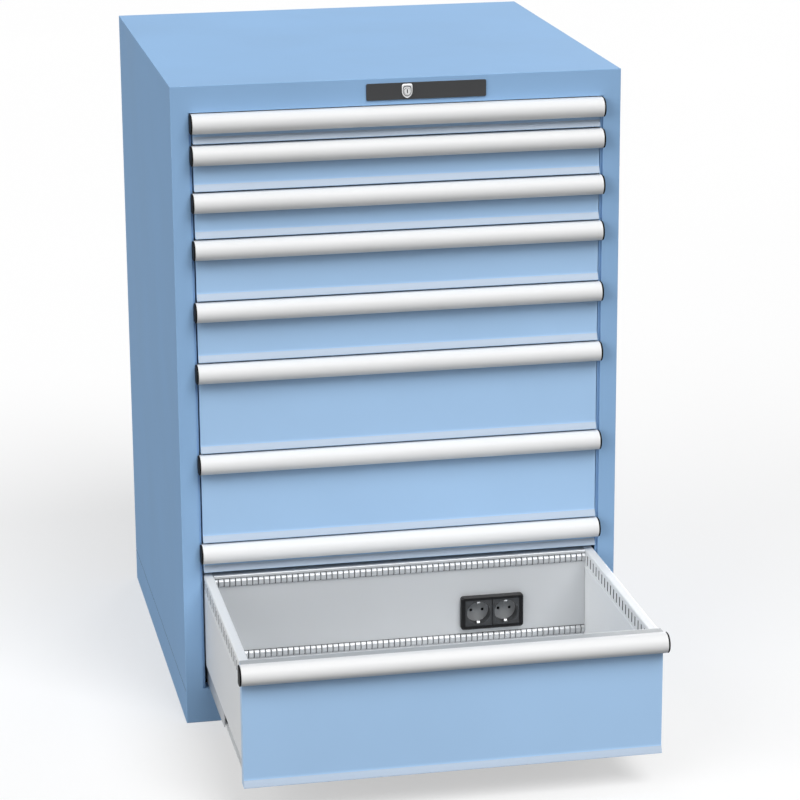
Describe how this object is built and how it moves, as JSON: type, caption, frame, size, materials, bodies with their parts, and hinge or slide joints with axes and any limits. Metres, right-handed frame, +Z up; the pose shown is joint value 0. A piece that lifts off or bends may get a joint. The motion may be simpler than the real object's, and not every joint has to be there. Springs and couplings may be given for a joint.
{
  "type": "multi-drawer cabinet",
  "caption": "Floor-standing sheet-steel drawer cabinet with full-width handle bars, drawers on telescopic runners, a central lock and a socket panel in the lowest drawer.",
  "frame": {"origin": "on the floor, at the centre of the housing's footprint", "axes": "+X to the right seen from the front, +Y to the back, +Z up; drawers open towards -Y"},
  "size_m": [0.717, 1.1575, 1.05],
  "materials": {
    "housing_paint": "smooth semi-gloss light blue powder coat",
    "front_paint": "smooth semi-gloss light blue powder coat",
    "bar_white": "satin off-white",
    "cap_black": "matt black",
    "tray_grey": "satin light grey",
    "runner_steel": "bright zinc plated",
    "lock_dark": "matt anthracite",
    "lock_metal": "polished",
    "socket_black": "matt black",
    "socket_grey": "matt dark grey"
  },
  "bodies": {
    "housing": {"front_frame": "housing_paint", "base": "housing_paint", "left_side_panel": "housing_paint", "right_side_panel": "housing_paint", "back_panel": "housing_paint", "top_panel": "housing_paint", "uprights": "runner_steel", "drawer_tracks": "runner_steel", "lock_panel": "lock_dark", "lock_escutcheon": "lock_metal"},
    "lock_cylinder": {"lock_cylinder": "lock_metal"},
    "lock_bar": {"lock_bar": "runner_steel"},
    "drawer_1": {"drawer_1_front": "front_paint", "drawer_1_handle_bar": "bar_white", "drawer_1_end_caps": "cap_black", "drawer_1_tray": "tray_grey"},
    "carriage_1": {"drawer_1_carriage": "runner_steel"},
    "drawer_2": {"drawer_2_front": "front_paint", "drawer_2_handle_bar": "bar_white", "drawer_2_end_caps": "cap_black", "drawer_2_tray": "tray_grey"},
    "carriage_2": {"drawer_2_carriage": "runner_steel"},
    "drawer_3": {"drawer_3_front": "front_paint", "drawer_3_handle_bar": "bar_white", "drawer_3_end_caps": "cap_black", "drawer_3_tray": "tray_grey"},
    "carriage_3": {"drawer_3_carriage": "runner_steel"},
    "drawer_4": {"drawer_4_front": "front_paint", "drawer_4_handle_bar": "bar_white", "drawer_4_end_caps": "cap_black", "drawer_4_tray": "tray_grey"},
    "carriage_4": {"drawer_4_carriage": "runner_steel"},
    "drawer_5": {"drawer_5_front": "front_paint", "drawer_5_handle_bar": "bar_white", "drawer_5_end_caps": "cap_black", "drawer_5_tray": "tray_grey"},
    "carriage_5": {"drawer_5_carriage": "runner_steel"},
    "drawer_6": {"drawer_6_front": "front_paint", "drawer_6_handle_bar": "bar_white", "drawer_6_end_caps": "cap_black", "drawer_6_tray": "tray_grey"},
    "carriage_6": {"drawer_6_carriage": "runner_steel"},
    "drawer_7": {"drawer_7_front": "front_paint", "drawer_7_handle_bar": "bar_white", "drawer_7_end_caps": "cap_black", "drawer_7_tray": "tray_grey"},
    "carriage_7": {"drawer_7_carriage": "runner_steel"},
    "drawer_8": {"drawer_8_front": "front_paint", "drawer_8_handle_bar": "bar_white", "drawer_8_end_caps": "cap_black", "drawer_8_tray": "tray_grey"},
    "carriage_8": {"drawer_8_carriage": "runner_steel"},
    "drawer_9": {"drawer_9_front": "front_paint", "drawer_9_handle_bar": "bar_white", "drawer_9_end_caps": "cap_black", "drawer_9_tray": "tray_grey", "socket_panel": "tray_grey", "socket_housing": "socket_black", "socket_inserts": "socket_grey"},
    "carriage_9": {"drawer_9_carriage": "runner_steel"}
  },
  "joints": [
    {"name": "lock_turn", "type": "hinge", "parent": "housing", "child": "lock_cylinder", "pos_m": [0.013, -0.3625, 1.029], "axis": [0, 1, 0], "range_deg": [0, 90]},
    {"name": "lock_bar_slide", "type": "slide", "parent": "housing", "child": "lock_bar", "axis": [1, 0, 0], "range_m": [0, 0.00495]},
    {"name": "drawer_1_slide", "type": "slide", "parent": "housing", "child": "drawer_1", "axis": [0, -1, 0], "range_m": [0, 0.6]},
    {"name": "carriage_1_slide", "type": "slide", "parent": "housing", "child": "carriage_1", "axis": [0, -1, 0], "range_m": [0, 0.3]},
    {"name": "drawer_2_slide", "type": "slide", "parent": "housing", "child": "drawer_2", "axis": [0, -1, 0], "range_m": [0, 0.6]},
    {"name": "carriage_2_slide", "type": "slide", "parent": "housing", "child": "carriage_2", "axis": [0, -1, 0], "range_m": [0, 0.3]},
    {"name": "drawer_3_slide", "type": "slide", "parent": "housing", "child": "drawer_3", "axis": [0, -1, 0], "range_m": [0, 0.6]},
    {"name": "carriage_3_slide", "type": "slide", "parent": "housing", "child": "carriage_3", "axis": [0, -1, 0], "range_m": [0, 0.3]},
    {"name": "drawer_4_slide", "type": "slide", "parent": "housing", "child": "drawer_4", "axis": [0, -1, 0], "range_m": [0, 0.6]},
    {"name": "carriage_4_slide", "type": "slide", "parent": "housing", "child": "carriage_4", "axis": [0, -1, 0], "range_m": [0, 0.3]},
    {"name": "drawer_5_slide", "type": "slide", "parent": "housing", "child": "drawer_5", "axis": [0, -1, 0], "range_m": [0, 0.6]},
    {"name": "carriage_5_slide", "type": "slide", "parent": "housing", "child": "carriage_5", "axis": [0, -1, 0], "range_m": [0, 0.3]},
    {"name": "drawer_6_slide", "type": "slide", "parent": "housing", "child": "drawer_6", "axis": [0, -1, 0], "range_m": [0, 0.6]},
    {"name": "carriage_6_slide", "type": "slide", "parent": "housing", "child": "carriage_6", "axis": [0, -1, 0], "range_m": [0, 0.3]},
    {"name": "drawer_7_slide", "type": "slide", "parent": "housing", "child": "drawer_7", "axis": [0, -1, 0], "range_m": [0, 0.6]},
    {"name": "carriage_7_slide", "type": "slide", "parent": "housing", "child": "carriage_7", "axis": [0, -1, 0], "range_m": [0, 0.3]},
    {"name": "drawer_8_slide", "type": "slide", "parent": "housing", "child": "drawer_8", "axis": [0, -1, 0], "range_m": [0, 0.6]},
    {"name": "carriage_8_slide", "type": "slide", "parent": "housing", "child": "carriage_8", "axis": [0, -1, 0], "range_m": [0, 0.3]},
    {"name": "drawer_9_slide", "type": "slide", "parent": "housing", "child": "drawer_9", "axis": [0, -1, 0], "range_m": [-0.41, 0.19]},
    {"name": "carriage_9_slide", "type": "slide", "parent": "housing", "child": "carriage_9", "axis": [0, -1, 0], "range_m": [-0.205, 0.095]}
  ],
  "couplings": [
    {"joint": "lock_turn", "follows": "lock_bar_slide", "rad_per_m": 317.33},
    {"joint": "carriage_1_slide", "follows": "drawer_1_slide", "ratio": 0.5},
    {"joint": "carriage_2_slide", "follows": "drawer_2_slide", "ratio": 0.5},
    {"joint": "carriage_3_slide", "follows": "drawer_3_slide", "ratio": 0.5},
    {"joint": "carriage_4_slide", "follows": "drawer_4_slide", "ratio": 0.5},
    {"joint": "carriage_5_slide", "follows": "drawer_5_slide", "ratio": 0.5},
    {"joint": "carriage_6_slide", "follows": "drawer_6_slide", "ratio": 0.5},
    {"joint": "carriage_7_slide", "follows": "drawer_7_slide", "ratio": 0.5},
    {"joint": "carriage_8_slide", "follows": "drawer_8_slide", "ratio": 0.5},
    {"joint": "carriage_9_slide", "follows": "drawer_9_slide", "ratio": 0.5}
  ]
}
